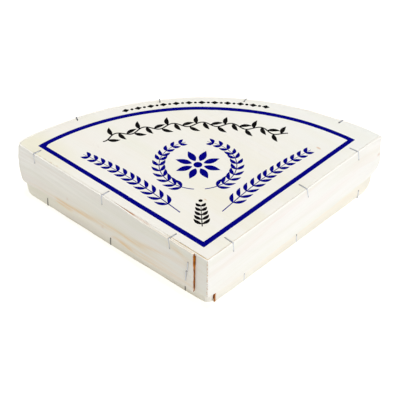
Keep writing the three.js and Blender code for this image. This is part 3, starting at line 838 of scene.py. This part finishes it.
def strip_poplar(name, pale, line, tan, rosy, folded, soaked):
    """Peeled poplar bent into a strip: matt cream wood with long faint fibres along the strip.

    The eye sees bands some millimetres wide that sway a little, finer fibre lines, tan and rosy stains,
    brown end grain at the cuts and, if folded, torn orange fibres at the fold. The tan colour also serves
    as painted shade low on the sides, and the top rim is painted lighter as a painted highlight. soaked is
    how far the glue at the lap's cut end has spread in millimetres.
    """
    made, tree, shader = material(name, {"IOR": 1.45})
    grain = node(tree, "UVMap", {"uv_map": "grain"})
    # The fibres sway by up to 2.5 mm over 110 mm.
    sway = node(tree, "Mapping", {"Scale": (1 / 0.11, 1 / 0.03, 1)}, {0: grain})
    sway = node(tree, "TexNoise", {"Scale": 1.0, "Detail": 1.0}, {"Vector": sway})
    sway = node(tree, "Math", {"operation": "MULTIPLY_ADD", 1: 0.005, 2: -0.0025}, {0: sway})
    sway = node(tree, "CombineXYZ", None, {1: sway})
    swayed = node(tree, "VectorMath", {"operation": "ADD"}, {0: grain, 1: sway})
    # Each pattern's start, length along the strip and width across it in metres, detail and roughness:
    # bands 9 mm wide, fibres 0.9 mm wide and 60 mm long, soaked patches 2.5 mm wide, tints 14 mm wide, and
    # grit in the end grain 0.8 mm wide and 6 mm tall. Fibres are coarser than real ones so that they show.
    field = {}
    for key, source, start, long, wide, detail, rough in (
            ("band", swayed, (0, 0, 0), 0.26, 0.009, 2.0, 0.5),
            ("fibre", swayed, (0, 0, 0), 0.06, 0.0009, 4.0, 0.6),
            ("soak", swayed, (3.1, 7.7, 0), 0.04, 0.0025, 3.0, 0.6),
            ("tint", swayed, (6.2, 2.4, 0), 0.14, 0.014, 2.0, 0.5),
            ("grit", grain, (0, 0, 0), 0.0008, 0.006, 2.0, 0.5)):
        spread = node(tree, "Mapping", {"Location": start, "Scale": (1 / long, 1 / wide, 1)}, {0: source})
        field[key] = node(tree, "TexNoise", {"Scale": 1.0, "Detail": detail, "Roughness": rough},
                          {"Vector": spread})
    broad = node(tree, "MapRange", {1: 0.44, 2: 0.72, 3: 0.0, 4: 0.7}, {0: field["band"]})
    colour = {"data_type": "RGBA", 6: linear(pale), 7: linear(line)}
    colour = node(tree, "Mix", colour, {0: broad}).outputs[2]
    for key, low, high, most, code in (
            ("tint", 0.5, 0.7, 0.6, "#f1e8e1"), ("tint", 0.5, 0.3, 0.6, "#ebeadc"),
            ("fibre", 0.48, 0.75, 0.5, line)):
        share = node(tree, "MapRange", {1: low, 2: high, 3: 0.0, 4: most}, {0: field[key]})
        colour = node(tree, "Mix", {"data_type": "RGBA", 7: linear(code)}, {0: share, 6: colour}).outputs[2]
    # Stains soak in patches; the tan mark is painted shade in places. The top rim is painted lighter, a
    # painted highlight where it faces up, tinted at the seams, and brown where the under layer is scarfed.
    stain, edge = (0.65, 0.1, 1.2), (0.7, 0.6, 1.1)
    for mark, code, (high, least, full), most in (
            ("pale", "#fffef9", stain, 0.8), ("rosy", rosy, stain, 0.6), ("tan", tan, stain, 0.75),
            ("rim", "#f5f2e9", edge, 1.0), ("edge", "#d4b064", edge, 1.0), ("raw", "#c27a24", edge, 1.0)):
        mark = node(tree, "Attribute", {"attribute_name": mark}).outputs["Fac"]
        share = node(tree, "MapRange", {1: 0.3, 2: high, 3: least, 4: full}, {0: field["soak"]})
        share = node(tree, "Math", {"operation": "MULTIPLY"}, {0: mark, 1: share})
        share = node(tree, "MapRange", {1: 0.0, 2: 1.0, 3: 0.0, 4: most}, {0: share})
        colour = node(tree, "Mix", {"data_type": "RGBA", 7: linear(code)}, {0: share, 6: colour}).outputs[2]
    if folded:
        # Fibres torn out within a millimetre of the fold, in flecks 0.7 mm wide and 1.4 mm tall.
        fleck = node(tree, "Mapping", {"Scale": (1 / 0.0007, 1 / 0.0014, 1)}, {0: grain})
        fleck = node(tree, "TexNoise", {"Scale": 1.0, "Detail": 2.0}, {"Vector": fleck})
        off = node(tree, "SeparateXYZ", None, {0: grain})
        off = node(tree, "Math", {"operation": "ADD", 1: 0.3 * MM}, {0: off})
        off = node(tree, "Math", {"operation": "ABSOLUTE"}, {0: off})
        off = node(tree, "MapRange", {1: 0.2 * MM, 2: 1.3 * MM, 3: 0.16, 4: -0.3}, {0: off})
        torn = node(tree, "Math", {"operation": "ADD"}, {0: fleck, 1: off})
        torn = node(tree, "MapRange", {1: 0.62, 2: 0.74, 3: 0.0, 4: 0.8}, {0: torn})
        fold = {"data_type": "RGBA", 7: linear("#bd8540")}
        colour = node(tree, "Mix", fold, {0: torn, 6: colour}).outputs[2]
    grit = node(tree, "MapRange", {1: 0.35, 2: 0.62, 3: 0.0, 4: 1.0}, {0: field["grit"]})
    end = {"data_type": "RGBA", 6: linear("#dc861e"), 7: linear("#84460a")}
    end = node(tree, "Mix", end, {0: grit}).outputs[2]
    # Glue has soaked the wood brown on either side of the lap's cut end, in the end grain's colours.
    glue = node(tree, "Attribute", {"attribute_name": "end"}).outputs["Fac"]
    glue = node(tree, "MapRange", {1: 0.35 * soaked, 2: soaked, 3: 0.95, 4: 0.0}, {0: glue})
    cut = node(tree, "Attribute", {"attribute_name": "cut"}).outputs["Fac"]
    for share in (glue, cut):
        colour = node(tree, "Mix", {"data_type": "RGBA"}, {0: share, 6: colour, 7: end}).outputs[2]
    sheen = node(tree, "MapRange", {1: 0.0, 2: 0.95, 3: 0.5, 4: 0.05}, {0: glue})
    rough = node(tree, "MapRange", {1: 0.3, 2: 0.7, 3: 0.55, 4: 0.72}, {0: field["fibre"]})
    bump = node(tree, "Bump", {"Strength": 0.25, "Distance": 0.00008}, {"Height": field["fibre"]})
    for socket, source in (("Base Color", colour), ("Specular IOR Level", sheen.outputs[0]),
                           ("Roughness", rough.outputs[0]), ("Normal", bump.outputs[0])):
        tree.links.new(source, shader.inputs[socket])
    return made


def board_poplar(name, pale, olive, pink, green):
    """Sawn poplar board: smooth pale wood, fibres parallel to the lid's left side.

    The eye sees wide faint olive, pink and green bands, thin fibre lines and a few small orange flecks.
    """
    made, tree, shader = material(name, {"IOR": 1.45})
    spot = node(tree, "TexCoord").outputs["Object"]
    turned = node(tree, "Mapping", {"Rotation": (0.0, 0.0, np.pi / 4)}, {0: spot})
    # After the turn the fibres run along X: bands 24 and 34 mm wide, fibres 1.2 mm wide and 90 mm long.
    field = {}
    for key, start, long, wide, detail, rough in (("band", (0, 0, 0), 0.5, 0.024, 2.0, 0.5),
                                                  ("shade", (4.3, 1.9, 0), 0.4, 0.034, 2.0, 0.5),
                                                  ("fibre", (0, 0, 0), 0.09, 0.0012, 4.0, 0.6)):
        spread = node(tree, "Mapping", {"Location": start, "Scale": (1 / long, 1 / wide, 1)}, {0: turned})
        field[key] = node(tree, "TexNoise", {"Scale": 1.0, "Detail": detail, "Roughness": rough},
                          {"Vector": spread})
    # The board turns cooler towards its right corner.
    field["right"] = node(tree, "SeparateXYZ", None, {0: turned}).outputs[1]
    tone = node(tree, "MapRange", {1: 0.46, 2: 0.68, 3: 0.0, 4: 0.65}, {0: field["band"]})
    colour = {"data_type": "RGBA", 6: linear(pale), 7: linear(olive)}
    colour = node(tree, "Mix", colour, {0: tone}).outputs[2]
    for key, low, high, most, code in (
            ("band", 0.47, 0.32, 0.5, pink), ("shade", 0.54, 0.68, 0.5, green),
            ("fibre", 0.5, 0.8, 0.2, "#ded4b8"), ("right", 0.05, 0.12, 0.5, "#eff1ec")):
        tone = node(tree, "MapRange", {1: low, 2: high, 3: 0.0, 4: most}, {0: field[key]})
        colour = node(tree, "Mix", {"data_type": "RGBA", 7: linear(code)}, {0: tone, 6: colour}).outputs[2]
    # A yellow patch at the left corner and flecks about a millimetre across, stretched along the fibres.
    smear = node(tree, "Mapping", {"Scale": (FLECK_STRETCH, 1.0, 1.0)}, {0: turned})
    for x, y, size, most, code in BOARD_FLECKS:
        x, y = HALF * (x - y - SHIFT[1]) * FLECK_STRETCH, HALF * (x + y + SHIFT[1])
        gone = {"operation": "DISTANCE", 1: (x * MM, y * MM, LID_TOP * MM)}
        gone = node(tree, "VectorMath", gone, {0: smear}).outputs["Value"]
        near = node(tree, "MapRange", {1: size * 1.2 * MM, 2: size * 0.4 * MM, 3: 0.0, 4: most}, {0: gone})
        colour = node(tree, "Mix", {"data_type": "RGBA", 7: linear(code)}, {0: near, 6: colour}).outputs[2]
    rough = node(tree, "MapRange", {1: 0.3, 2: 0.7, 3: 0.5, 4: 0.68}, {0: field["fibre"]})
    bump = node(tree, "Bump", {"Strength": 0.2, "Distance": 0.00006}, {"Height": field["fibre"]})
    for socket, source in (("Base Color", colour), ("Roughness", rough.outputs[0]),
                           ("Normal", bump.outputs[0])):
        tree.links.new(source, shader.inputs[socket])
    return made


def ink(name, deep, worn):
    """Screen-printed ink: a matt dark film, a little thinner where the wood's fibres stand up."""
    made, tree, shader = material(name, {"Specular IOR Level": 0.02})
    spot = node(tree, "TexCoord").outputs["Object"]
    # Fibres 1.2 mm wide and 20 mm long, along the board's.
    fibre = node(tree, "Mapping", {"Rotation": (0.0, 0.0, np.pi / 4)}, {0: spot})
    fibre = node(tree, "Mapping", {"Scale": (1 / 0.02, 1 / 0.0012, 1)}, {0: fibre})
    fibre = node(tree, "TexNoise", {"Scale": 1.0, "Detail": 3.0}, {"Vector": fibre})
    thin = node(tree, "MapRange", {1: 0.5, 2: 0.75, 3: 0.0, 4: 0.7}, {0: fibre})
    colour = node(tree, "Mix", {"data_type": "RGBA", 6: linear(deep), 7: linear(worn)}, {0: thin})
    rough = node(tree, "MapRange", {1: 0.3, 2: 0.7, 3: 0.5, 4: 0.65}, {0: fibre})
    tree.links.new(colour.outputs[2], shader.inputs["Base Color"])
    tree.links.new(rough.outputs[0], shader.inputs["Roughness"])
    return made


def staple_steel(name, dull, bright, darkened):
    """Galvanised staple wire: satin metal drawn lengthwise, dark where nipped off and where the dull mark
    darkens it.
    """
    made, tree, shader = material(name, {"Metallic": 1.0})
    grain = node(tree, "UVMap", {"uv_map": "grain"})
    # Drawing marks 0.3 mm wide and 4 mm long, drawn coarser than real ones so that they show.
    drawn = node(tree, "Mapping", {"Scale": (1 / 0.004, 1 / 0.0003, 1)}, {0: grain})
    drawn = node(tree, "TexNoise", {"Scale": 1.0, "Detail": 3.0}, {"Vector": drawn})
    colour = {"data_type": "RGBA", 6: linear(dull), 7: linear(bright)}
    colour = node(tree, "Mix", colour, {0: drawn}).outputs[2]
    for mark, code in (("dull", darkened), ("tip", "#4a4540")):
        mark = node(tree, "Attribute", {"attribute_name": mark}).outputs["Fac"]
        colour = node(tree, "Mix", {"data_type": "RGBA", 7: linear(code)}, {0: mark, 6: colour}).outputs[2]
    rough = node(tree, "MapRange", {1: 0.3, 2: 0.7, 3: 0.4, 4: 0.6}, {0: drawn})
    tree.links.new(colour, shader.inputs["Base Color"])
    tree.links.new(rough.outputs[0], shader.inputs["Roughness"])
    return made


def wear(obj, made):
    """Puts one material on a piece."""
    obj.data.materials.clear()
    obj.data.materials.append(made)
    return obj


def staple_names(group, stops):
    """The nodes of a group of staples."""
    return [f"{group}_staple_{side}_{k + 1}" for side in stops for k in range(len(stops[side]))]


def away(azimuth, elevation):
    """The unit vector from the object towards an azimuth and elevation in degrees."""
    a, e = np.radians(azimuth), np.radians(elevation)
    return Vector((np.sin(a) * np.cos(e), -np.cos(a) * np.cos(e), np.sin(e)))


def soft_sun(name, azimuth, elevation, spread, strength, code):
    """A broad even light from an azimuth and elevation; spread is the angle it fills in the sky."""
    data = bpy.data.lights.new(name, "SUN")
    data.angle, data.energy, data.color = np.radians(spread), strength, linear(code)[:3]
    obj = bpy.data.objects.new(name, data)
    bpy.context.scene.collection.objects.link(obj)
    back = away(azimuth, elevation)
    obj.matrix_world = Matrix.Translation(back) @ back.to_track_quat("Z", "Y").to_matrix().to_4x4()


# Wood.
lid_wood = strip_poplar("peeled poplar, lid strip", pale="#f1efe8", line="#e9e5d8", tan="#e6c080",
                        rosy="#ecdfd2", folded=True, soaked=1.0)
# The base's tan colour is painted shade, a darker olive at its foot.
base_wood = strip_poplar("peeled poplar, base strip", pale="#f1eee1", line="#e7e0cb", tan="#aea377",
                         rosy="#f2e6d0", folded=False, soaked=2.8)
top_wood = board_poplar("sawn poplar, lid board", pale="#efece2", olive="#ece7d2", pink="#efe8dc",
                        green="#e9ebdf")
lid_band = bent_strip("lid_band", LID, None, LID_TOP, LID_STATIONS, mirror=False, seed=11,
                      stains=lid_stains, torn=0.16)
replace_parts(wear(lid_band, lid_wood), "lid_strip")
base_band = bent_strip("base_band", BASE, 0.0, BASE_TOP, BASE_STATIONS, mirror=True, seed=21,
                       stains=base_stains, torn=0.0)
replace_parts(wear(base_band, base_wood), "base_strip")
lid_face = wear(board_piece("lid_face", board_outline(LID_STATIONS), board_height), top_wood)
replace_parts(lid_face, "lid_board")

# Print.
for name, bands, made in (
        ("blue_print", blue_bands(), ink("blue screen ink", "#000078", "#0a0a86")),
        ("black_print", black_bands(), ink("black screen ink", "#0c0b0c", "#282523"))):
    wear(ink_piece(name, bands), made)

# Staples.
steel = staple_steel("galvanised staple wire", "#c4c7d0", "#eef0f3", "#7c7a76")
places = edge_places(LID, LID_STAPLES, mirror=False, level=0.95, counts=LID_STATIONS)
lid_wires = wear(wire_piece("lid_staples", *bent_wire(*places, **LID_WIRE), LID_DULL), steel)
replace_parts(lid_wires, *staple_names("lid", LID_STAPLES))
plan, *places = edge_places(BASE, BASE_STAPLES, mirror=True, level=0.1, counts=BASE_STATIONS)
base_wires = bent_wire(plan + BASE_SHIFT, *places, **BASE_WIRE)
base_wires = wear(wire_piece("base_staples", *base_wires, BASE_DULL), steel)
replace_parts(base_wires, *staple_names("base", BASE_STAPLES))
along, drop, lean = np.array(LAP_STAPLES).T
lap_wires = upright_wire(along, drop, lean, stand_off(LID, -1, along, 0.5, LID_STATIONS))
lap_wires = wear(wire_piece("lap_staples", *lap_wires, LAP_PAINTED_SHADE), steel)
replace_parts(lap_wires, "lap_staple_1", "lap_staple_2")

# The base's board keeps its solid and gets the lid board's wood. base_floor carries it into the bends.
wear(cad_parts["base_board"], top_wood)
base_floor = wear(board_piece("base_floor", floor_outline(BASE_STATIONS), floor_height), top_wood)

# Floor: white paper that glows a little, as a lit studio table does.
white, *_ = material("white paper floor", {
    "Base Color": linear("#a0a0a0"), "Roughness": 0.9, "Specular IOR Level": 0.1,
    "Emission Color": linear("#fffdf6"), "Emission Strength": 0.9})
floor_mesh = bpy.data.meshes.new("floor")
corners = [(x * FLOOR_HALF, y * FLOOR_HALF, 0) for x, y in ((-1, -1), (1, -1), (1, 1), (-1, 1))]
floor_mesh.from_pydata(corners, [], [(0, 1, 2, 3)])
floor = bpy.data.objects.new("floor", floor_mesh)
bpy.context.scene.collection.objects.link(floor)
wear(floor, white)

# Light.
world = bpy.data.worlds.new("studio")
bpy.context.scene.world = world
world.use_nodes = True
sky = world.node_tree.nodes["Background"]
sky.inputs[0].default_value = (1.0, 1.0, 1.0, 1.0)
sky.inputs[1].default_value = SKY
soft_sun("overhead", azimuth=30.0, elevation=86.0, spread=20.0, strength=2.5, code="#ffffff")
soft_sun("side", azimuth=50.0, elevation=20.0, spread=50.0, strength=1.3, code="#ecefff")

# Camera.
back, roll = away(VIEW["azimuth"], VIEW["elevation"]), np.radians(VIEW["roll"])
right = Vector((0.0, 0.0, 1.0)).cross(back).normalized()
up = back.cross(right)
across_image = right * np.cos(roll) + up * np.sin(roll)
up_image = up * np.cos(roll) - right * np.sin(roll)
data = bpy.data.cameras.new("camera")
data.lens, data.sensor_width, data.clip_end = VIEW["lens"], VIEW["sensor"], VIEW["far"]
camera = bpy.data.objects.new("camera", data)
bpy.context.scene.collection.objects.link(camera)
turn = Matrix((across_image, up_image, back)).transposed().to_4x4()
camera.matrix_world = Matrix.Translation((Vector(VIEW["target"]) + back * VIEW["distance"]) * MM) @ turn
bpy.context.scene.camera = camera
bpy.context.scene.view_settings.view_transform = "Standard"
